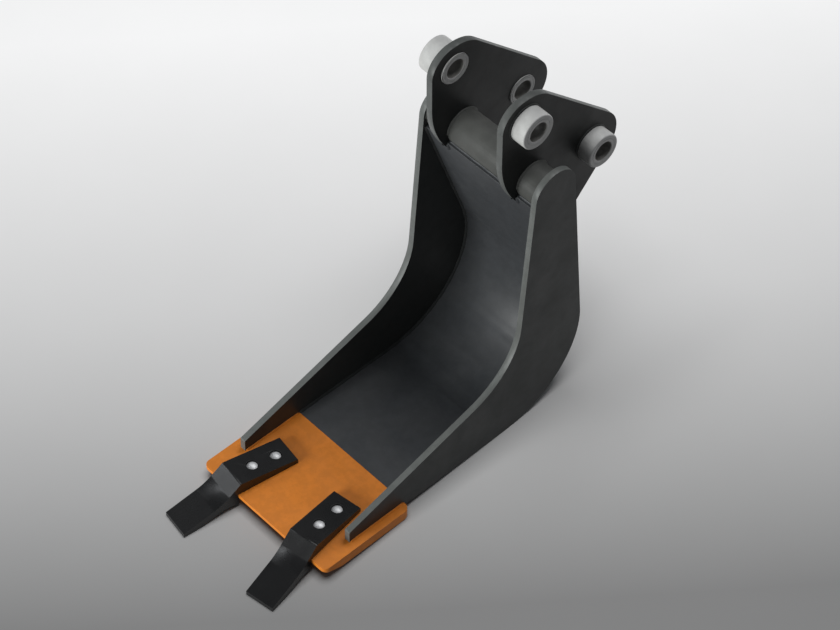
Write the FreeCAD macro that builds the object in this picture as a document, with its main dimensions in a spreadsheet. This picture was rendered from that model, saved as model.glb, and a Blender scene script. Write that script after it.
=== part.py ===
import FreeCAD, Part
import math
import os
import Sketcher

# Narrow trenching bucket for a backhoe loader or small excavator.
# Design frame: origin at the middle of the lip plate's rear top edge,
# +X to the bucket's right, +Y back towards the heel, +Z up, lip top level.
# Row frame: origin on the stick pin's axis at mid width, the bucket turned
# by rest_tilt so that it stands on its tooth tips and its back.

V = FreeCAD.Vector
doc = FreeCAD.newDocument("trenching_bucket")
sheet = doc.addObject("Spreadsheet::Sheet", "sizes")

CELLS = [
    # pins and pin seats
    ("bush_bore_dia", 45.2), ("bush_outer_dia", 60.0), ("bush_chamfer", 1.5),
    ("stick_pin_y", 385.0), ("stick_pin_z", 825.0),
    ("link_pin_y", 577.0), ("link_pin_z", 630.0),
    ("stick_boss_rad", 41.0), ("link_boss_rad", 40.0),
    ("stick_spigot_rad", 36.5), ("link_spigot_rad", 35.5),
    ("stick_boss_left_end", 156.0), ("stick_boss_right_end", 147.0),
    ("link_boss_left_end", 145.0), ("link_boss_right_end", 145.0),
    ("spigot_proud", 3.0), ("boss_chamfer", 2.0),
    # ears
    ("ear_gap_half", 93.0), ("ear_thick", 16.0),
    ("ear_front_y", 323.5), ("ear_top_z", 884.0), ("ear_nose_rad", 58.0),
    ("ear_brow_rad", 88.0), ("ear_tail_rad", 72.5), ("ear_toe_rad", 238.0),
    # side plates
    ("side_inner_half", 157.0), ("side_thick", 14.0),
    ("side_crown_y", 416.0), ("side_crown_z", 647.0), ("side_crown_rad", 55.0),
    ("side_heel_rad", 216.0), ("side_throat_rad", 180.0),
    ("side_front_y", -153.0), ("side_bottom_z", -10.0),
    # shell
    ("shell_thick", 10.0), ("shell_heel_rad", 227.0),
    # cross tube
    ("tube_y", 409.5), ("tube_z", 645.0), ("tube_rad", 41.25), ("tube_wall", 8.0),
    # lip
    ("lip_half_width", 191.0), ("lip_length", 240.0), ("lip_thick", 25.0),
    ("lip_front_thick", 10.0), ("lip_bevel_run", 48.0),
    ("lip_corner_front", 14.0), ("lip_corner_rear", 16.0),
    # teeth
    ("tooth_x", 92.0), ("tooth_y", -87.0), ("tooth_splay", 8.4),
    ("tooth_width", 71.0), ("tooth_reach", 286.0), ("tooth_drop", 46.0), ("tooth_heel", 36.0),
    ("bolt_one", 34.0), ("bolt_two", 92.0),
    ("seat_one", 8.0), ("seat_two", 16.0),
    # fasteners
    ("bolt_dia", 12.0), ("bolt_hole_dia", 13.0), ("head_dia", 24.0), ("head_high", 6.5),
    ("head_ball_rad", 19.0), ("recess_dia", 27.0), ("nut_recess", 14.0), ("nut_recess_dia", 30.0),
    ("nut_flats", 19.0), ("nut_high", 10.0), ("washer_dia", 24.0), ("washer_thick", 2.5),
    # resting attitude
    ("rest_tilt", 3.11),
]
for i, (alias, value) in enumerate(CELLS, start=1):
    sheet.set("A%d" % i, alias.replace("_", " "))
    sheet.set("B%d" % i, str(value))
    sheet.setAlias("B%d" % i, alias)
doc.recompute()


def val(alias):
    return float(sheet.get(alias))


# ---------------------------------------------------------------- placement
def row_frame():
    turn = FreeCAD.Rotation(V(1, 0, 0), -val("rest_tilt"))
    pin = V(0, val("stick_pin_y"), val("stick_pin_z"))
    return FreeCAD.Placement(turn.multVec(pin).negative(), turn)


ROW = row_frame()


def place(obj, x=0.0, y=0.0, z=0.0, turn_z=0.0):
    local = FreeCAD.Placement(V(x, y, z), FreeCAD.Rotation(V(0, 0, 1), turn_z))
    obj.Placement = ROW.multiply(local)


# ------------------------------------------------------------------ sketches
def plane(body, role):
    for feature in body.Origin.OriginFeatures:
        if feature.Role == role:
            return feature
    raise RuntimeError(role)


def new_body(name):
    body = doc.addObject("PartDesign::Body", name)
    body.Label = name
    return body


def new_sketch(body, name, role):
    sk = body.newObject("Sketcher::SketchObject", name)
    sk.AttachmentSupport = [(plane(body, role), "")]
    sk.MapMode = "FlatFace"
    return sk


def rounded(points):
    """Closed outline of (a, b, fillet radius) corners as lines and tangent arcs."""
    n = len(points)
    cuts = []
    for i in range(n):
        p = V(points[i][0], points[i][1], 0)
        a = V(points[i - 1][0], points[i - 1][1], 0)
        b = V(points[(i + 1) % n][0], points[(i + 1) % n][1], 0)
        r = points[i][2]
        if r <= 0:
            cuts.append((p, p, None))
            continue
        u = (a - p).normalize()
        w = (b - p).normalize()
        half = u.getAngle(w) / 2.0
        run = r / math.tan(half)
        mid = (u + w).normalize()
        centre = p + mid * (r / math.sin(half))
        cuts.append((p + u * run, p + w * run, centre - mid * r))
    out = []
    for i in range(n):
        first, last, mid = cuts[i]
        if mid is not None:
            out.append(Part.Arc(first, mid, last))
        nxt = cuts[(i + 1) % n][0]
        if last.distanceToPoint(nxt) > 1e-4:
            out.append(Part.LineSegment(last, nxt))
    return out


def draw(sk, curves):
    """Adds the outline and pins it down: its numbers come from the sheet."""
    for curve in curves:
        index = sk.addGeometry(curve, False)
        sk.addConstraint(Sketcher.Constraint("Block", index))


def circle(sk, a, b, alias, half=False):
    index = sk.addGeometry(Part.Circle(V(a, b, 0), V(0, 0, 1), val(alias) / (2.0 if half else 1.0)), False)
    kind = "Diameter" if half else "Radius"
    c = sk.addConstraint(Sketcher.Constraint(kind, index, val(alias)))
    sk.setExpression("Constraints[%d]" % c, "sizes.%s" % alias)
    return index


def pad(body, name, sk, length, middle=False, reverse=False):
    f = body.newObject("PartDesign::Pad", name)
    f.Profile = sk
    f.setExpression("Length", length)
    if middle:
        if hasattr(f, "SideType"):
            f.SideType = "Symmetric"
        else:
            f.Midplane = True
    f.Reversed = reverse
    body.Tip = f
    doc.recompute()
    return f


def pocket(body, name, sk, length, middle=False, reverse=False):
    before = body.Shape.Volume
    f = body.newObject("PartDesign::Pocket", name)
    f.Profile = sk
    f.setExpression("Length", length)
    if middle:
        if hasattr(f, "SideType"):
            f.SideType = "Symmetric"
        else:
            f.Midplane = True
    f.Reversed = reverse
    body.Tip = f
    doc.recompute()
    if body.Shape.Volume > before - 1.0:
        raise RuntimeError("%s cuts nothing" % name)
    return f


NODES = []

# -------------------------------------------------------------- side plates
crown = V(val("side_crown_y"), val("side_crown_z"), 0)
crown_r = val("side_crown_rad")
bottom = val("side_bottom_z")
lean_front = math.radians(4.75)
lean_back = math.radians(4.54)
front_touch = crown + V(-math.cos(lean_front), math.sin(lean_front), 0) * crown_r
back_touch = crown + V(math.cos(lean_back), math.sin(lean_back), 0) * crown_r


def front_line(z):
    return front_touch.x - (front_touch.y - z) * math.tan(lean_front)


def back_line(z):
    return back_touch.x + (back_touch.y - z) * math.tan(lean_back)


def rake_line(y):
    return 131.0 + (y - 188.0) * 0.2924


throat_z = 170.0
for _ in range(30):
    throat_z = rake_line(front_line(throat_z))
top_z = crown.y + crown_r
SIDE = [
    (front_line(top_z), top_z, crown_r - 0.05),
    (back_line(top_z), top_z, crown_r - 0.05),
    (back_line(bottom), bottom, val("side_heel_rad")),
    (0.0, bottom, 0),
    (0.0, 0.0, 0),
    (val("side_front_y"), 0.0, 0),
    (val("side_front_y"), rake_line(val("side_front_y")), 3.0),
    (front_line(throat_z), throat_z, val("side_throat_rad")),
]
for name, sign in (("side_plate_left", -1), ("side_plate_right", 1)):
    body = new_body(name)
    sk = new_sketch(body, name + "_outline", "YZ_Plane")
    sk.setExpression("AttachmentOffset.Base.z", "%d * sizes.side_inner_half" % sign)
    draw(sk, rounded(SIDE))
    pad(body, name + "_pad", sk, "sizes.side_thick", reverse=(sign < 0))
    place(body)
    NODES.append(body)

# -------------------------------------------------------------------- shell
seam = V(368.0, 616.0, 0)
down = V(0.3180, -0.94809, 0).normalize()
out = V(-down.y, down.x, 0)
foot = V(val("tube_y"), val("tube_z"), 0)
tube_gap = (foot - seam).dot(out)
tube_foot = foot - out * tube_gap
thick = val("shell_thick")
top_in = tube_foot + down * 9.0
top_out = top_in + out * thick


def line_at(point, z):
    return point.x + (z - point.y) * down.x / down.y


heel_r = val("shell_heel_rad")
SHELL = [
    (top_in.x, top_in.y, 0),
    (line_at(top_in, 0.0), 0.0, heel_r),
    (0.0, 0.0, 0),
    (0.0, -thick, 0),
    (line_at(top_out, -thick), -thick, heel_r + thick),
    (top_out.x, top_out.y, 0),
]
shell = new_body("bucket_shell")
sk = new_sketch(shell, "shell_profile", "YZ_Plane")
draw(sk, rounded(SHELL))
pad(shell, "shell_pad", sk, "2 * sizes.side_inner_half", middle=True)
sk = new_sketch(shell, "tube_cope", "YZ_Plane")
circle(sk, foot.x, foot.y, "tube_rad")
pocket(shell, "tube_cope_pocket", sk, "2 * sizes.side_inner_half + 10", middle=True)
place(shell)
NODES.append(shell)

# --------------------------------------------------------------- cross tube
tube = new_body("cross_tube")
sk = new_sketch(tube, "tube_ring", "YZ_Plane")
circle(sk, 0, 0, "tube_rad")
pad(tube, "tube_pad", sk, "2 * sizes.side_inner_half", middle=True)
sk = new_sketch(tube, "tube_hollow", "YZ_Plane")
ring = sk.addGeometry(Part.Circle(V(0, 0, 0), V(0, 0, 1), val("tube_rad") - val("tube_wall")), False)
c = sk.addConstraint(Sketcher.Constraint("Radius", ring, val("tube_rad") - val("tube_wall")))
sk.setExpression("Constraints[%d]" % c, "sizes.tube_rad - sizes.tube_wall")
pocket(tube, "tube_hollow_pocket", sk, "2 * sizes.side_inner_half + 10", middle=True)
place(tube, 0, foot.x, foot.y)
NODES.append(tube)

# --------------------------------------------------------------------- ears
tail_lean = math.radians(47.8)
tail_dir = V(-math.cos(tail_lean), -math.sin(tail_lean), 0)
tail_point = V(val("link_pin_y"), val("link_pin_z"), 0) + V(-tail_dir.y, tail_dir.x, 0) * 74.0
slope_sum = val("link_pin_y") + val("link_pin_z") + 101.0
k = (tail_point.x + tail_point.y - slope_sum) / -(tail_dir.x + tail_dir.y)
tail_corner = tail_point - tail_dir * -k
shell_out = seam + out * thick
# where the rear edge meets the back of the shell
det = tail_dir.x * -down.y + tail_dir.y * down.x
dx, dy = shell_out.x - tail_corner.x, shell_out.y - tail_corner.y
run = (dx * -down.y + dy * down.x) / det
low_rear = tail_corner + tail_dir * run
toe_r = val("ear_toe_rad")
toe_run = (toe_r + 0.7) * math.tan(math.radians(19.0))
toe_corner_z = 745.0 - toe_run
toe = V(val("ear_front_y") + toe_run * math.sin(math.radians(38.0)),
        toe_corner_z - toe_run * math.cos(math.radians(38.0)), 0)
toe_back = toe + out * ((shell_out - toe).dot(out))
EAR = [
    (val("ear_front_y"), val("ear_top_z"), val("ear_nose_rad")),
    (slope_sum + 1.0 - val("ear_top_z"), val("ear_top_z"), val("ear_brow_rad")),
    (tail_corner.x, tail_corner.y, val("ear_tail_rad")),
    (low_rear.x, low_rear.y, 9.0),
    (toe_back.x, toe_back.y, 0),
    (toe.x, toe.y, 0),
    (val("ear_front_y"), toe_corner_z, toe_r),
]
SLOT = [
    (top_in.x, top_in.y, 0),
    (top_out.x, top_out.y, 0),
    (top_out.x + down.x * 200, top_out.y + down.y * 200, 0),
    (top_in.x + down.x * 200, top_in.y + down.y * 200, 0),
]
for name, sign in (("ear_left", -1), ("ear_right", 1)):
    body = new_body(name)
    sk = new_sketch(body, name + "_outline", "YZ_Plane")
    sk.setExpression("AttachmentOffset.Base.z", "%d * sizes.ear_gap_half" % sign)
    draw(sk, rounded(EAR))
    pad(body, name + "_pad", sk, "sizes.ear_thick", reverse=(sign < 0))
    sk = new_sketch(body, name + "_tube_hole", "YZ_Plane")
    circle(sk, foot.x, foot.y, "tube_rad")
    pocket(body, name + "_tube_pocket", sk, "600", middle=True)
    sk = new_sketch(body, name + "_shell_slot", "YZ_Plane")
    draw(sk, rounded(SLOT))
    pocket(body, name + "_shell_pocket", sk, "600", middle=True)
    sk = new_sketch(body, name + "_stick_seat", "YZ_Plane")
    circle(sk, val("stick_pin_y"), val("stick_pin_z"), "stick_spigot_rad")
    pocket(body, name + "_stick_pocket", sk, "600", middle=True)
    sk = new_sketch(body, name + "_link_seat", "YZ_Plane")
    circle(sk, val("link_pin_y"), val("link_pin_z"), "link_spigot_rad")
    pocket(body, name + "_link_pocket", sk, "600", middle=True)
    place(body)
    NODES.append(body)


# ---------------------------------------------------------- bosses, bushes
def turned(name, outline, y, z):
    """A turned ring: outline of (x, radius, fillet) revolved about X."""
    body = new_body(name)
    sk = new_sketch(body, name + "_section", "XY_Plane")
    draw(sk, rounded(outline))
    rev = body.newObject("PartDesign::Revolution", name + "_turn")
    rev.Profile = sk
    rev.ReferenceAxis = (plane(body, "X_Axis"), [""])
    rev.Angle = 360.0
    body.Tip = rev
    doc.recompute()
    place(body, 0, y, z)
    NODES.append(body)
    return body


bush_out = val("bush_outer_dia") / 2.0
bush_in = val("bush_bore_dia") / 2.0
bc = val("bush_chamfer")
oc = val("boss_chamfer")
ear_in = val("ear_gap_half")
ear_out = ear_in + val("ear_thick")
proud = val("spigot_proud")
for pin in ("stick", "link"):
    py, pz = val(pin + "_pin_y"), val(pin + "_pin_z")
    big, small = val(pin + "_boss_rad"), val(pin + "_spigot_rad")
    for side, sign in (("left", -1), ("right", 1)):
        end = val("%s_boss_%s_end" % (pin, side))
        turned("%s_boss_%s" % (pin, side), [
            (sign * (ear_in - proud), bush_out, 0),
            (sign * (ear_in - proud), small - 1.0, 0),
            (sign * (ear_in - proud + 1.0), small, 0),
            (sign * ear_out, small, 0),
            (sign * ear_out, big, 0),
            (sign * (end - oc), big, 0),
            (sign * end, big - oc, 0),
            (sign * end, bush_out, 0)], py, pz)
        turned("%s_bush_%s" % (pin, side), [
            (sign * (ear_in - proud), bush_in + bc, 0),
            (sign * (ear_in - proud), bush_out, 0),
            (sign * end, bush_out, 0),
            (sign * end, bush_in + bc, 0),
            (sign * (end - bc), bush_in, 0),
            (sign * (ear_in - proud + bc), bush_in, 0)], py, pz)

# ---------------------------------------------------------------------- lip
lip = new_body("lip_plate")
sk = new_sketch(lip, "lip_outline", "XY_Plane")
hw, ll = val("lip_half_width"), val("lip_length")
rf, rr = val("lip_corner_front"), val("lip_corner_rear")
draw(sk, rounded([(-hw, -ll, rf), (hw, -ll, rf), (hw, 0, rr), (-hw, 0, rr)]))
pad(lip, "lip_pad", sk, "sizes.lip_thick", reverse=True)
sk = new_sketch(lip, "lip_bevel", "YZ_Plane")
lt, ft, br = val("lip_thick"), val("lip_front_thick"), val("lip_bevel_run")
slope = (lt - ft) / br
draw(sk, rounded([(-ll + br, -lt, 0), (-ll - 10, -ft + slope * 10, 0), (-ll - 10, -lt - 10, 0), (-ll + br, -lt - 10, 0)]))
pocket(lip, "lip_bevel_pocket", sk, "2 * sizes.lip_half_width + 20", middle=True)

splay = math.radians(val("tooth_splay"))
BOLTS = []          # (x, y, seat height, which)
for sign in (-1, 1):
    for which, along, seat in (("one", val("bolt_one"), val("seat_one")), ("two", val("bolt_two"), val("seat_two"))):
        BOLTS.append((sign * (val("tooth_x") + along * math.sin(splay)),
                      val("tooth_y") - along * math.cos(splay), seat, which))
sk = new_sketch(lip, "lip_bolt_holes", "XY_Plane")
for x, y, seat, which in BOLTS:
    circle(sk, x, y, "bolt_hole_dia", half=True)
pocket(lip, "lip_bolt_pocket", sk, "100", middle=True)
# The nuts are sunk into the underside, so nothing hangs below the lip.
sk = new_sketch(lip, "lip_nut_recess", "XY_Plane")
sk.setExpression("AttachmentOffset.Base.z", "-sizes.lip_thick")
for x, y, seat, which in BOLTS:
    circle(sk, x, y, "nut_recess_dia", half=True)
pocket(lip, "lip_nut_pocket", sk, "sizes.nut_recess", reverse=True)
place(lip)
NODES.append(lip)

# -------------------------------------------------------------------- teeth
reach, drop = val("tooth_reach"), val("tooth_drop")
TOOTH = [
    (0.0, 0.0, 0),
    (0.0, 12.0, 2.0),
    (-142.0, 29.5, 4.0),
    (-189.0, -7.5, 110.0),
    (-reach, -drop + 11.0, 0),
    (-reach, -drop, 0),
    (-245.0, -43.5, 60.0),
    (-185.0, -24.0, 60.0),
    (-140.0, -val("tooth_heel"), 0),
    (-140.0, 0.0, 0),
]
for name, sign in (("tooth_left", -1), ("tooth_right", 1)):
    body = new_body(name)
    sk = new_sketch(body, name + "_profile", "YZ_Plane")
    draw(sk, rounded(TOOTH))
    pad(body, name + "_pad", sk, "sizes.tooth_width", middle=True)
    # The heel's back face is parallel to the lip's front edge.
    turn = FreeCAD.Rotation(V(0, 0, 1), -sign * val("tooth_splay"))
    box = []
    for x, y in ((-140, -ll), (140, -ll), (140, 120), (-140, 120)):
        p = turn.multVec(V(x, y - val("tooth_y"), 0))
        box.append((p.x, p.y, 0))
    sk = new_sketch(body, name + "_lip_relief", "XY_Plane")
    draw(sk, rounded(box))
    pocket(body, name + "_relief_pocket", sk, "100")
    sk = new_sketch(body, name + "_bolt_holes", "XY_Plane")
    circle(sk, 0, -val("bolt_one"), "bolt_hole_dia", half=True)
    circle(sk, 0, -val("bolt_two"), "bolt_hole_dia", half=True)
    pocket(body, name + "_hole_pocket", sk, "120", middle=True)
    for which in ("one", "two"):
        sk = new_sketch(body, "%s_recess_%s" % (name, which), "XY_Plane")
        sk.setExpression("AttachmentOffset.Base.z", "sizes.seat_%s" % which)
        circle(sk, 0, -val("bolt_" + which), "recess_dia", half=True)
        pocket(body, "%s_recess_pocket_%s" % (name, which), sk, "40", reverse=True)
    place(body, sign * val("tooth_x"), val("tooth_y"), 0, sign * val("tooth_splay"))
    NODES.append(body)


# ---------------------------------------------------------------- fasteners
def primitive(kind, name, exprs, x, y, z):
    obj = doc.addObject(kind, name)
    for prop, e in exprs.items():
        obj.setExpression(prop, e)
    place(obj, x, y, z)
    return obj


def group(name, members):
    obj = doc.addObject("Part::Compound", name)
    obj.Links = members
    obj.Label = name
    NODES.append(obj)
    return obj


low = -val("lip_thick") + val("nut_recess")     # where the washers sit
for which, label in (("one", "tooth_bolts_rear"), ("two", "tooth_bolts_front")):
    made = []
    for i, (x, y, seat, kind) in enumerate(BOLTS):
        if kind != which:
            continue
        tag = "%s_%d" % (label, i)
        ball = primitive("Part::Sphere", tag + "_ball", {"Radius": "sizes.head_ball_rad"},
                         x, y, seat + val("head_high") - val("head_ball_rad"))
        rim = primitive("Part::Cylinder", tag + "_rim",
                        {"Radius": "sizes.head_dia / 2", "Height": "sizes.head_high + 1"}, x, y, seat)
        head = doc.addObject("Part::Common", tag + "_head")
        head.Base, head.Tool = ball, rim
        shank = primitive("Part::Cylinder", tag + "_shank",
                          {"Radius": "sizes.bolt_dia / 2",
                           "Height": "sizes.seat_%s + sizes.lip_thick - sizes.nut_recess + sizes.washer_thick + sizes.nut_high + 2" % which},
                          x, y, low - val("washer_thick") - val("nut_high") - 1.0)
        bolt = doc.addObject("Part::Fuse", tag)
        bolt.Base, bolt.Tool = head, shank
        made.append(bolt)
    group(label, made)

washers, nuts = [], []
for i, (x, y, seat, kind) in enumerate(BOLTS):
    disc = primitive("Part::Cylinder", "washer_disc_%d" % i,
                     {"Radius": "sizes.washer_dia / 2", "Height": "sizes.washer_thick"},
                     x, y, low - val("washer_thick"))
    hole = primitive("Part::Cylinder", "washer_hole_%d" % i,
                     {"Radius": "sizes.bolt_dia / 2 + 0.1", "Height": "sizes.washer_thick + 4"},
                     x, y, low - val("washer_thick") - 2.0)
    cut = doc.addObject("Part::Cut", "washer_%d" % i)
    cut.Base, cut.Tool = disc, hole
    washers.append(cut)
    prism = doc.addObject("Part::Prism", "nut_prism_%d" % i)
    prism.Polygon = 6
    prism.setExpression("Circumradius", "sizes.nut_flats / 2 / cos(30 deg)")
    prism.setExpression("Height", "sizes.nut_high")
    place(prism, x, y, low - val("washer_thick") - val("nut_high"), 17.0 * (i + 1))
    bore = primitive("Part::Cylinder", "nut_bore_%d" % i,
                     {"Radius": "sizes.bolt_dia / 2", "Height": "sizes.nut_high + 4"},
                     x, y, low - val("washer_thick") - val("nut_high") - 2.0)
    cut = doc.addObject("Part::Cut", "nut_%d" % i)
    cut.Base, cut.Tool = prism, bore
    nuts.append(cut)
group("tooth_washers", washers)
group("tooth_nuts", nuts)

# ---------------------------------------------------------- check and write
doc.recompute()
for obj in doc.Objects:
    state = " ".join(obj.State)
    if "Invalid" in state or "Error" in state:
        raise RuntimeError("%s failed: %s" % (obj.Name, state))
for obj in NODES:
    if obj.Shape.isNull() or not obj.Shape.isValid() or obj.Shape.Volume < 1.0:
        raise RuntimeError("%s has a bad shape" % obj.Label)
    print(obj.Label, len(obj.Shape.Solids), round(obj.Shape.Volume / 1000.0, 1), obj.Shape.BoundBox)

os.makedirs("parts", exist_ok=True)
for obj in NODES:
    obj.Shape.exportStep("parts/%s.step" % obj.Label)
print("wrote", len(NODES), "nodes")
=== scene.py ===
import math
import random

import bpy
import numpy as np
from mathutils import Matrix, Vector


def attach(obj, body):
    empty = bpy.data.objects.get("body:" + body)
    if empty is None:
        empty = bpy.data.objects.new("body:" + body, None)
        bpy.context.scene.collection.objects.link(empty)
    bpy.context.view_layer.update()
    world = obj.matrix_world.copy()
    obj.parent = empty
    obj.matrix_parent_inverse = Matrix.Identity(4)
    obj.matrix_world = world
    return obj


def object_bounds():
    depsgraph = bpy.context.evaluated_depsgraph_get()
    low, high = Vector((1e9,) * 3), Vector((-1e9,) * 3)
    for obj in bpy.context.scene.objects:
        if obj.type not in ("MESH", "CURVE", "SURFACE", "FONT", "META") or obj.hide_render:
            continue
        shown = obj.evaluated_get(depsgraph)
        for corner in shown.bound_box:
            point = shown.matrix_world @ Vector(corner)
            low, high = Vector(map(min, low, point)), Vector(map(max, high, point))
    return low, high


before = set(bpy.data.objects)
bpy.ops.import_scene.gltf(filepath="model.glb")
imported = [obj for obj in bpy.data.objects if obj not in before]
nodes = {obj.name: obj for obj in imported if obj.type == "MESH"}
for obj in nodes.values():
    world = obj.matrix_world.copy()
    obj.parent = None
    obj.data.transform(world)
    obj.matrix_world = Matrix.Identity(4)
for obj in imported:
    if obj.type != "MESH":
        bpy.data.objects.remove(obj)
CAD_LO, CAD_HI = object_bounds()
random.seed(11)
rng = np.random.default_rng(11)
scene = bpy.context.scene

# ------------------------------------------------------------------ geometry
# Design frame in millimetres: lip rear top edge at the origin, X right, Y back,
# Z up. The row frame turns it by TILT about the stick pin.
TILT = math.radians(3.11)
PIN = (385.0, 825.0)
LINK = (577.0, 630.0)


def row(x, y, z):
    dy, dz = y - PIN[0], z - PIN[1]
    return Vector((x, dy * math.cos(TILT) + dz * math.sin(TILT),
                   -dy * math.sin(TILT) + dz * math.cos(TILT))) / 1000.0


def turn(x, y, z):
    return Vector((x, y * math.cos(TILT) + z * math.sin(TILT),
                   -y * math.sin(TILT) + z * math.cos(TILT)))


# ----------------------------------------------------------------- materials
def mat(name):
    m = bpy.data.materials.new(name)
    m.use_nodes = True
    nt = m.node_tree
    nt.nodes.clear()
    out = nt.nodes.new("ShaderNodeOutputMaterial")
    bs = nt.nodes.new("ShaderNodeBsdfPrincipled")
    nt.links.new(bs.outputs[0], out.inputs[0])
    return m, nt, bs


def n_(nt, kind, **kw):
    n = nt.nodes.new(kind)
    for k, v in kw.items():
        setattr(n, k, v)
    return n


def coords(nt, scale=(1, 1, 1)):
    tc = n_(nt, "ShaderNodeTexCoord")
    mp = n_(nt, "ShaderNodeMapping")
    mp.inputs["Scale"].default_value = scale
    nt.links.new(tc.outputs["Object"], mp.inputs["Vector"])
    return mp.outputs["Vector"]


def noise(nt, vec, scale, detail=4.0, rough=0.55, dist=0.0):
    n = n_(nt, "ShaderNodeTexNoise")
    n.inputs["Scale"].default_value = scale
    n.inputs["Detail"].default_value = detail
    n.inputs["Roughness"].default_value = rough
    n.inputs["Distortion"].default_value = dist
    nt.links.new(vec, n.inputs["Vector"])
    return n.outputs["Fac"]


def ramp(nt, fac, stops):
    r = n_(nt, "ShaderNodeValToRGB")
    el = r.color_ramp.elements
    el[0].position, el[0].color = stops[0][0], stops[0][1]
    el[1].position, el[1].color = stops[-1][0], stops[-1][1]
    for p, c in stops[1:-1]:
        e = el.new(p)
        e.color = c
    nt.links.new(fac, r.inputs["Fac"])
    return r.outputs["Color"]


def grey(v):
    return (v, v, v, 1.0)


def math_(nt, op, a, b=None, clamp=False):
    m = n_(nt, "ShaderNodeMath", operation=op)
    m.use_clamp = clamp
    for i, x in enumerate((a, b)):
        if x is None:
            continue
        if isinstance(x, (int, float)):
            m.inputs[i].default_value = x
        else:
            nt.links.new(x, m.inputs[i])
    return m.outputs[0]


def mix(nt, fac, a, b, mode="MIX"):
    m = n_(nt, "ShaderNodeMix", data_type="RGBA", blend_type=mode)
    if isinstance(fac, (int, float)):
        m.inputs["Factor"].default_value = fac
    else:
        nt.links.new(fac, m.inputs["Factor"])
    for k, x in (("A", a), ("B", b)):
        s = [i for i in m.inputs if i.name == k and i.type == "RGBA"][0]
        if isinstance(x, tuple):
            s.default_value = x
        else:
            nt.links.new(x, s)
    return [o for o in m.outputs if o.type == "RGBA"][0]


def bump(nt, layers, bs):
    """layers: (height socket, strength, distance in metres), stacked."""
    last = None
    for h, s, d in layers:
        b = n_(nt, "ShaderNodeBump")
        b.inputs["Strength"].default_value = s
        b.inputs["Distance"].default_value = d
        nt.links.new(h, b.inputs["Height"])
        if last is not None:
            nt.links.new(last, b.inputs["Normal"])
        last = b.outputs["Normal"]
    nt.links.new(last, bs.inputs["Normal"])


def edge_mask(nt, radius, low=0.02, high=0.35):
    """1 on convex or concave edges, from how far a rounded normal leaves the face's own."""
    bev = n_(nt, "ShaderNodeBevel", samples=4)
    bev.inputs["Radius"].default_value = radius
    geo = n_(nt, "ShaderNodeNewGeometry")
    dot = n_(nt, "ShaderNodeVectorMath", operation="DOT_PRODUCT")
    nt.links.new(bev.outputs[0], dot.inputs[0])
    nt.links.new(geo.outputs["Normal"], dot.inputs[1])
    inv = math_(nt, "SUBTRACT", 1.0, dot.outputs["Value"])
    mr = n_(nt, "ShaderNodeMapRange")
    mr.inputs["From Min"].default_value = low
    mr.inputs["From Max"].default_value = high
    nt.links.new(inv, mr.inputs["Value"])
    return mr.outputs[0]


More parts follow.
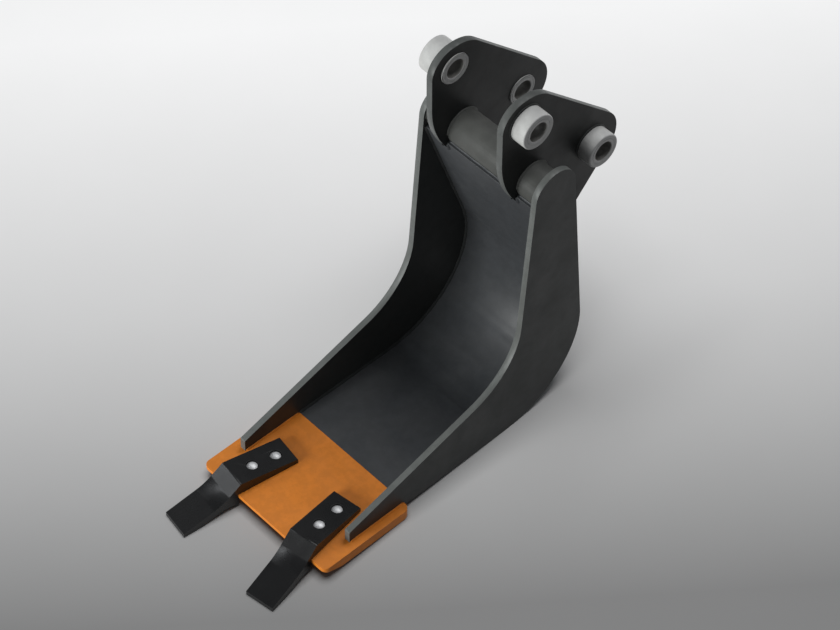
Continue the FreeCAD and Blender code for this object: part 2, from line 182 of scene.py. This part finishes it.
def paint(name, base, dark, light, rough=(0.36, 0.52), edge=None, coat=0.0, dust=0.0, spec=0.3, painted_rim_light=1.0, relief=1.0):
    m, nt, bs = mat(name)
    v = coords(nt)
    broad = noise(nt, v, 3.2, 5.0, 0.6, 0.4)
    fine = noise(nt, v, 46.0, 6.0, 0.62)
    col = ramp(nt, broad, [(0.30, dark), (0.52, base), (0.74, light)])
    speck = ramp(nt, fine, [(0.42, grey(0.90)), (0.60, grey(1.08))])
    col = mix(nt, 0.6, col, speck, "MULTIPLY")
    if painted_rim_light != 1.0:
        # faces that don't face along X (a cross plate's cut edges, a boss's round side) are painted lighter by this
        # gain: painted light on the lit edges, against painted shade on the faces that face X
        geo = n_(nt, "ShaderNodeNewGeometry")
        sep = n_(nt, "ShaderNodeSeparateXYZ")
        nt.links.new(geo.outputs["Normal"], sep.inputs[0])
        flat = math_(nt, "ABSOLUTE", sep.outputs["X"])
        mr = n_(nt, "ShaderNodeMapRange")
        mr.inputs["From Min"].default_value = 0.35
        mr.inputs["From Max"].default_value = 0.80
        nt.links.new(flat, mr.inputs["Value"])
        rim = mix(nt, 1.0, col, (painted_rim_light, painted_rim_light, painted_rim_light * 0.99, 1.0), "MULTIPLY")
        col = mix(nt, mr.outputs[0], rim, col)
    if dust > 0:
        geo = n_(nt, "ShaderNodeNewGeometry")
        sep = n_(nt, "ShaderNodeSeparateXYZ")
        nt.links.new(geo.outputs["Normal"], sep.inputs[0])
        up = math_(nt, "MAXIMUM", sep.outputs["Z"], 0.0)
        patch = ramp(nt, noise(nt, v, 9.0, 7.0, 0.68, 0.6), [(0.38, grey(0.0)), (0.72, grey(1.0))])
        amount = math_(nt, "MULTIPLY", math_(nt, "MULTIPLY", up, patch), dust)
        col = mix(nt, amount, col, (0.30, 0.285, 0.26, 1.0))
    if edge is not None:
        # edge colour: on the orange and the bosses it is darker wear; on the dark paints it is lighter, both worn
        # paint and painted edge highlight
        em = edge_mask(nt, 0.0022)
        broken = ramp(nt, noise(nt, v, 120.0, 6.0, 0.7), [(0.44, grey(0.0)), (0.62, grey(1.0))])
        em = math_(nt, "MULTIPLY", em, broken, clamp=True)
        em = math_(nt, "MULTIPLY", em, 0.55)
        col = mix(nt, em, col, edge)
    nt.links.new(col, bs.inputs["Base Color"])
    mr = n_(nt, "ShaderNodeMapRange")
    mr.inputs["From Min"].default_value = 0.3
    mr.inputs["From Max"].default_value = 0.7
    mr.inputs["To Min"].default_value = rough[0]
    mr.inputs["To Max"].default_value = rough[1]
    nt.links.new(noise(nt, v, 14.0, 7.0, 0.65, 0.3), mr.inputs["Value"])
    nt.links.new(mr.outputs[0], bs.inputs["Roughness"])
    bs.inputs["Specular IOR Level"].default_value = spec
    bs.inputs["Coat Weight"].default_value = coat
    bs.inputs["Coat Roughness"].default_value = 0.28
    peel = noise(nt, v, 420.0, 2.0, 0.5)
    wave = noise(nt, v, 7.0, 2.0, 0.5)
    grain = noise(nt, v, 1500.0, 2.0, 0.5)
    bump(nt, [(wave, 0.10 * relief, 0.004), (peel, 0.10 * relief, 0.0006), (grain, 0.06 * relief, 0.0002)], bs)
    return m


M_BODY = paint("charcoal_paint", (0.046, 0.049, 0.053, 1), (0.040, 0.043, 0.047, 1), (0.052, 0.055, 0.059, 1),
               edge=(0.13, 0.135, 0.135, 1), dust=0.05, spec=0.30)
# plate and ear paint: the charcoal darkened as painted shade on the faces that face X, with painted light on their
# edges; the boss weld rings take the ear paint too
M_PLATE_PAINTED_SHADE = paint("charcoal_paint_plates_painted_shade", (0.034, 0.036, 0.035, 1), (0.029, 0.031, 0.030, 1), (0.039, 0.041, 0.040, 1),
                edge=(0.13, 0.135, 0.135, 1), dust=0.05, spec=0.30, painted_rim_light=3.3)
M_EAR_PAINTED_SHADE = paint("charcoal_paint_ears_painted_shade", (0.0145, 0.0153, 0.0150, 1), (0.0122, 0.0130, 0.0127, 1), (0.0176, 0.0184, 0.0182, 1),
              edge=(0.12, 0.125, 0.125, 1), dust=0.02, spec=0.22, painted_rim_light=6.2)
# bowl weld paint: the charcoal darkened as painted shade along the crease where the shell meets the side plates
M_WELD_PAINTED_SHADE = paint("charcoal_paint_welds_painted_shade", (0.028, 0.030, 0.030, 1), (0.023, 0.025, 0.025, 1), (0.034, 0.036, 0.036, 1),
               rough=(0.50, 0.64), edge=None, spec=0.15)
# tube paint: the charcoal lightened as painted light on the tube, also used on the tube welds
M_TUBE_PAINTED_LIGHT = paint("charcoal_paint_tube_painted_light", (0.069, 0.071, 0.067, 1), (0.061, 0.063, 0.059, 1), (0.077, 0.079, 0.075, 1),
               rough=(0.50, 0.64), edge=None, dust=0.04, spec=0.20)
M_LIP = paint("orange_paint", (0.70, 0.218, 0.025, 1), (0.61, 0.187, 0.021, 1), (0.78, 0.252, 0.033, 1),
              rough=(0.36, 0.50), edge=(0.30, 0.13, 0.05, 1), dust=0.03, spec=0.22)
M_TOOTH = paint("black_forging", (0.0085, 0.0085, 0.009, 1), (0.007, 0.007, 0.0074, 1), (0.011, 0.011, 0.0118, 1),
                rough=(0.24, 0.32), edge=(0.05, 0.05, 0.053, 1), spec=0.38, relief=0.35)
# boss paint is the bosses' own light grey; the round side is painted lighter than the end faces, which carry painted
# shade
M_BOSS = paint("light_grey_boss", (0.43, 0.43, 0.425, 1), (0.39, 0.39, 0.385, 1), (0.47, 0.47, 0.465, 1),
               rough=(0.36, 0.50), edge=(0.40, 0.40, 0.395, 1), spec=0.30, painted_rim_light=1.2)


def metal(name, base, rough, turned=False, metallic=0.85, bore_shade=None):
    m, nt, bs = mat(name)
    v = coords(nt)
    tone = noise(nt, v, 60.0, 5.0, 0.6)
    col = ramp(nt, tone, [(0.3, tuple(c * 0.82 for c in base[:3]) + (1,)), (0.7, base)])
    if bore_shade is not None:
        # the hole's wall is painted darker, painted shade deep in the hole; the end face is like the collar round it
        geo = n_(nt, "ShaderNodeNewGeometry")
        sep = n_(nt, "ShaderNodeSeparateXYZ")
        nt.links.new(geo.outputs["Normal"], sep.inputs[0])
        mr = n_(nt, "ShaderNodeMapRange")
        mr.inputs["From Min"].default_value = 0.3
        mr.inputs["From Max"].default_value = 0.7
        nt.links.new(math_(nt, "ABSOLUTE", sep.outputs["X"]), mr.inputs["Value"])
        wall = mix(nt, 1.0, col, bore_shade, "MULTIPLY")
        col = mix(nt, mr.outputs[0], wall, col)
    nt.links.new(col, bs.inputs["Base Color"])
    bs.inputs["Metallic"].default_value = metallic
    mr = n_(nt, "ShaderNodeMapRange")
    mr.inputs["To Min"].default_value = rough - 0.06
    mr.inputs["To Max"].default_value = rough + 0.10
    nt.links.new(noise(nt, v, 30.0, 6.0, 0.65), mr.inputs["Value"])
    nt.links.new(mr.outputs[0], bs.inputs["Roughness"])
    lay = [(noise(nt, v, 900.0, 2.0, 0.5), 0.12, 0.0003)]
    if turned:
        streak = noise(nt, coords(nt, (2600.0, 3.0, 3.0)), 1.0, 2.0, 0.5)
        lay.append((streak, 0.12, 0.0003))
    bump(nt, lay, bs)
    return m


M_BUSH = metal("bush_steel", (0.43, 0.43, 0.425, 1), 0.44, turned=True, metallic=0.15, bore_shade=(0.46, 0.45, 0.43, 1.0))
M_ZINC = metal("zinc_bright", (0.84, 0.84, 0.85, 1), 0.50, metallic=0.45)

for name, o in nodes.items():
    if name == "lip_plate":
        m = M_LIP
    elif "boss" in name:
        m = M_BOSS
    elif "bush" in name:
        m = M_BUSH
    elif name in ("tooth_left", "tooth_right"):
        m = M_TOOTH
    elif name.startswith("tooth_"):
        m = M_ZINC
    elif name.startswith("ear"):
        m = M_EAR_PAINTED_SHADE
    elif name.startswith("side_plate"):
        m = M_PLATE_PAINTED_SHADE
    elif name == "cross_tube":
        m = M_TUBE_PAINTED_LIGHT
    else:
        m = M_BODY
    if not o.material_slots:
        o.data.materials.append(m)
    for s in o.material_slots:
        s.material = m
    weld = o.modifiers.new("weld", "WELD")
    weld.merge_threshold = 1e-6
    bev = o.modifiers.new("bevel", "BEVEL")
    small = name in ("tooth_washers", "tooth_nuts", "tooth_bolts_rear", "tooth_bolts_front")
    bev.width = 0.0003 if small else (0.0006 if "bush" in name else (0.0022 if name.startswith("tooth") else 0.0012))
    bev.segments = 2
    bev.limit_method = "ANGLE"
    bev.angle_limit = math.radians(38)
    bev.harden_normals = True
    bev.use_clamp_overlap = True

# ------------------------------------------------------------------- welds
def bead(name, path, dirs, leg, material, closed=False, ripple=True):
    """A convex fillet bead. path: corner points (metres, row frame); dirs: for each
    point the two unit directions that lie along the joined faces."""
    pts = [Vector(p) for p in path]
    if closed:
        pts = pts + [pts[0]]
        dirs = list(dirs) + [dirs[0]]
    # resample evenly
    step = 0.0011
    lens = [0.0]
    for a, b in zip(pts, pts[1:]):
        lens.append(lens[-1] + (b - a).length)
    total = lens[-1]
    count = max(8, int(total / step))
    seed = rng.uniform(0, 50)
    verts, faces = [], []
    prof = 7
    j = 0
    for i in range(count + 1):
        s = total * i / count
        while j < len(lens) - 2 and lens[j + 1] < s:
            j += 1
        t = (s - lens[j]) / max(lens[j + 1] - lens[j], 1e-9)
        p = pts[j].lerp(pts[j + 1], t)
        d1 = dirs[j][0].lerp(dirs[j + 1][0], t).normalized()
        d2 = dirs[j][1].lerp(dirs[j + 1][1], t).normalized()
        wob = 1.0 + 0.07 * math.sin(s * 160 + seed) + 0.05 * math.sin(s * 57 + 2 * seed)
        end = 1.0
        if not closed:
            e = min(s, total - s) / (leg * 1.2)
            end = math.sqrt(max(0.02, 1 - (1 - min(e, 1.0)) ** 2))
        size = leg * wob * end
        fwd = (pts[j + 1] - pts[j]).normalized()
        for k in range(prof):
            u = k / (prof - 1)
            a = math.cos(u * math.pi / 2)
            b = math.sin(u * math.pi / 2)
            # between a straight hypotenuse and a quarter round
            a2 = 0.45 * a + 0.55 * (1 - u)
            b2 = 0.45 * b + 0.55 * u
            r = 1.0
            if ripple:
                lag = 0.0016 * (1 - (2 * u - 1) ** 2)
                r += 0.055 * math.cos((s + lag) / 0.0042 * 2 * math.pi + 0.6 * math.sin(s * 90 + seed))
            verts.append(p + d1 * (size * a2 * r) + d2 * (size * b2 * r) - (d1 + d2) * 0.0002)
    for i in range(count):
        for k in range(prof - 1):
            a = i * prof + k
            faces.append((a, a + 1, a + 1 + prof, a + prof))
    me = bpy.data.meshes.new(name)
    me.from_pydata([tuple(v) for v in verts], [], faces)
    me.update()
    me.shade_smooth()
    o = bpy.data.objects.new(name, me)
    scene.collection.objects.link(o)
    o.data.materials.append(material)
    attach(o, "root")
    return o


# shell profile, as the CAD has it
DOWN = Vector((0.3180, -0.94809)).normalized()
OUT = Vector((-DOWN.y, DOWN.x))
SEAM = Vector((368.0, 616.0))
TUBE = Vector((409.5, 645.0))
TUBE_R = 41.25
GAP = (TUBE - SEAM).dot(OUT)
TOP_IN = TUBE - OUT * GAP + DOWN * 9.0
HEEL_R = 227.0


def shell_line(offset=0.0):
    """Points and outward normals (away from the bowl) of the shell, offset from its inner face."""
    top = TOP_IN + OUT * offset
    r = HEEL_R + offset
    corner_y = top.x + (top.y + offset) * (DOWN.x / -DOWN.y)
    corner = Vector((corner_y, -offset))
    a = (top - corner).normalized()
    b = Vector((-1.0, 0.0))
    half = a.angle(b) / 2
    runlen = r / math.tan(half)
    centre = corner + (a + b).normalized() * (r / math.sin(half))
    p1, p2 = corner + a * runlen, corner + b * runlen
    pts = []
    for i in range(21):
        q = top.lerp(p1, i / 20)
        pts.append((q, OUT.copy()))
    a1 = math.atan2(p1.y - centre.y, p1.x - centre.x)
    a2 = math.atan2(p2.y - centre.y, p2.x - centre.x)
    for i in range(1, 61):
        t = a1 + (a2 - a1) * i / 60
        n = Vector((math.cos(t), math.sin(t)))
        pts.append((centre + n * r, n))
    for i in range(1, 11):
        q = p2.lerp(Vector((0.0, -offset)), i / 10)
        pts.append((q, Vector((0.0, -1.0))))
    return pts


def face_dir(y, z):
    return turn(0.0, y, z).normalized()


IN_HALF = 157.0
inner = shell_line(0.0)
outer = shell_line(10.0)
for side, sg in (("left", -1), ("right", 1)):
    x = sg * IN_HALF
    bead("weld_bowl_" + side, [row(x, q.x, q.y) for q, n in inner],
         [(face_dir(-n.x, -n.y), Vector((-sg, 0, 0))) for q, n in inner], 0.0045, M_WELD_PAINTED_SHADE)
    part = [(q, n) for q, n in outer[2:] if q.y > 4.0 or q.x > 330]
    bead("weld_back_" + side, [row(x, q.x, q.y) for q, n in part],
         [(face_dir(n.x, n.y), Vector((-sg, 0, 0))) for q, n in part], 0.0055, M_BODY)


def ring(name, x, cy, cz, radius, toward, leg, material):
    """Bead round a cylinder along X where it meets a plate; toward is +1 or -1 along X."""
    path, dirs = [], []
    for i in range(96):
        t = 2 * math.pi * i / 96
        path.append(row(x, cy + radius * math.cos(t), cz + radius * math.sin(t)))
        dirs.append((face_dir(math.cos(t), math.sin(t)), Vector((toward, 0, 0))))
    return bead(name, path, dirs, leg, material, closed=True)


for side, sg in (("left", -1), ("right", 1)):
    ring("weld_stick_boss_" + side, sg * 109.0, PIN[0], PIN[1], 41.0, sg, 0.0032, M_EAR_PAINTED_SHADE)
    ring("weld_link_boss_" + side, sg * 109.0, LINK[0], LINK[1], 40.0, sg, 0.0032, M_EAR_PAINTED_SHADE)
    # tube to ear, both faces, and tube to side plate: arcs clear of the shell plate
    for tag, x, to in (("in", sg * 93.0, -sg), ("out", sg * 109.0, sg), ("side", sg * 157.0, -sg)):
        path, dirs = [], []
        a0 = math.atan2(-(OUT.y), -(OUT.x))
        for i in range(97):
            t = a0 - math.radians(16) - math.radians(320) * i / 96
            path.append(row(x, TUBE.x + TUBE_R * math.cos(t), TUBE.y + TUBE_R * math.sin(t)))
            dirs.append((face_dir(math.cos(t), math.sin(t)), Vector((to, 0, 0))))
        bead("weld_tube_%s_%s" % (tag, side), path, dirs, 0.0036, M_TUBE_PAINTED_LIGHT)
    # ear to shell: front toe and back run, on both faces of the ear
    toe = TOP_IN + DOWN * 24.0
    for tag, x, to in (("in", sg * 93.0, -sg), ("out", sg * 109.0, sg)):
        a, b = TOP_IN + DOWN * 1.5, toe
        bead("weld_toe_%s_%s" % (tag, side),
             [row(x, *a.lerp(b, i / 6)) for i in range(7)],
             [(face_dir(-OUT.x, -OUT.y), Vector((to, 0, 0)))] * 7, 0.0045, M_BODY)
        a, b = TOP_IN + OUT * 10 + DOWN * 10, TOP_IN + OUT * 10 + DOWN * 234.0
        bead("weld_ear_back_%s_%s" % (tag, side),
             [row(x, *a.lerp(b, i / 20)) for i in range(21)],
             [(face_dir(OUT.x, OUT.y), Vector((to, 0, 0)))] * 21, 0.0055, M_BODY)
    # side plate to lip, both sides
    for tag, x, to in (("in", sg * 157.0, -sg), ("out", sg * 171.0, sg)):
        bead("weld_lip_%s_%s" % (tag, side),
             [row(x, -151.0 + 149.0 * i / 20, 0.0) for i in range(21)],
             [(face_dir(0, 1), Vector((to, 0, 0)))] * 21, 0.0035, M_LIP)

# shell's top end to the tube, in the three bays between plates and ears
for tag, x0, x1 in (("left", -155.5, -110.5), ("mid", -91.5, 91.5), ("right", 110.5, 155.5)):
    contact = TOP_IN + OUT * 8.3
    bead("weld_seam_" + tag, [row(x0 + (x1 - x0) * i / 10, *contact) for i in range(11)],
         [(face_dir(-OUT.x, -OUT.y), face_dir(-DOWN.x * 0.9 - OUT.x * 0.3, -DOWN.y * 0.9 - OUT.y * 0.3))] * 11, 0.0042, M_BODY, ripple=False)
# shell to the lip's rear face, underneath
bead("weld_lip_under", [row(-155 + 310 * i / 10, 0.0, -10.0) for i in range(11)],
     [(face_dir(1, 0), face_dir(0, -1))] * 11, 0.008, M_BODY)

# -------------------------------------------------------------------- stage
floor_z = CAD_LO.z
bpy.ops.mesh.primitive_plane_add(size=1, location=(0, 0, floor_z))
floor = bpy.context.object
floor.name = "floor"
floor.scale = (30, 30, 1)
m, nt, bs = mat("floor_pale_painted_falloff")
tc = n_(nt, "ShaderNodeNewGeometry")
sep = n_(nt, "ShaderNodeSeparateXYZ")
nt.links.new(tc.outputs["Position"], sep.inputs[0])
# painted light falloff: darker near the camera and paler away from it, along the horizontal direction that runs away
# from the camera
away = math_(nt, "ADD", math_(nt, "MULTIPLY", sep.outputs["X"], -0.7651), math_(nt, "MULTIPLY", sep.outputs["Y"], 0.6439))
mr = n_(nt, "ShaderNodeMapRange")
mr.inputs["From Min"].default_value = -0.660
mr.inputs["From Max"].default_value = 0.987
nt.links.new(away, mr.inputs["Value"])
col = ramp(nt, mr.outputs[0], [(0.0, grey(0.213)), (0.491, grey(0.61)), (1.0, grey(0.95))])
sp = noise(nt, coords(nt, (30, 30, 1)), 2.0, 6.0, 0.6)
col = mix(nt, 0.5, col, ramp(nt, sp, [(0.3, grey(0.97)), (0.7, grey(1.02))]), "MULTIPLY")
nt.links.new(col, bs.inputs["Base Color"])
bs.inputs["Roughness"].default_value = 0.75
bs.inputs["Specular IOR Level"].default_value = 0.25
floor.data.materials.append(m)

world = bpy.data.worlds.new("studio")
scene.world = world
world.use_nodes = True
bg = world.node_tree.nodes["Background"]
bg.inputs[0].default_value = (0.93, 0.96, 1.0, 1.0)
bg.inputs[1].default_value = 0.13


def softbox(name, az, el, dist, size, watts, colour=(1, 1, 1), at=(0, -0.2, -0.4)):
    a, e = math.radians(az), math.radians(el)
    back = Vector((math.sin(a) * math.cos(e), -math.cos(a) * math.cos(e), math.sin(e)))
    li = bpy.data.lights.new(name, "AREA")
    li.shape = "RECTANGLE"
    li.size, li.size_y = size
    li.energy = watts
    li.color = colour
    o = bpy.data.objects.new(name, li)
    scene.collection.objects.link(o)
    o.location = Vector(at) + back * dist
    o.rotation_mode = "QUATERNION"
    o.rotation_quaternion = back.to_track_quat("Z", "Y")
    return o


# The floor has its own overhead wash and is left out of the lights that would
# throw long shadows; what it sends back up fills the plates' sides.
linked = {}
for name, state in (("floor_apart", "EXCLUDE"), ("floor_only", "INCLUDE")):
    group = bpy.data.collections.new(name)
    group.objects.link(floor)
    group.collection_objects[0].light_linking.link_state = state
    linked[name] = group
for name, az, el, dist, size, watts, colour in (
        ("front", -8, 12, 4.5, (2.8, 1.2), 205, (0.98, 1.0, 0.99)),
        ("back", 180, 60, 4.5, (2.6, 2.2), 112, (0.98, 0.99, 1.0)),
        ("left", -95, 40, 4.5, (2.4, 2.0), 6, (1.0, 1.0, 1.0))):
    softbox(name, az, el, dist, size, watts, colour).light_linking.receiver_collection = linked["floor_apart"]
for name, az, el, size, watts in (("key", -62, 35, (1.8, 1.4), 9), ("edge", -49, 32, (0.75, 0.75), 11)):
    softbox(name, az, el, 4.2, size, watts, (0.94, 0.97, 1.0), at=(-0.12, -0.62, -0.79)).light_linking.receiver_collection = linked["floor_apart"]
softbox("wash", 0, 90, 7.0, (5.0, 5.0), 550).light_linking.receiver_collection = linked["floor_only"]

# ------------------------------------------------------------------- camera
cam = bpy.data.cameras.new("camera")
cam.sensor_width = 36.0
cam.lens = 146.22
cam.clip_start, cam.clip_end = 0.1, 100.0
co = bpy.data.objects.new("camera", cam)
scene.collection.objects.link(co)
right = Vector((0.680881, 0.731328, -0.039515))
up = Vector((-0.558296, 0.553193, 0.618291))
back = Vector((0.474032, -0.398921, 0.784956))
rot = Matrix((right, up, back)).transposed()
co.matrix_world = Matrix.Translation((3.34948, -3.02781, 5.02396)) @ rot.to_4x4()
scene.camera = co

scene.view_settings.view_transform = "Standard"
scene.view_settings.look = "None"
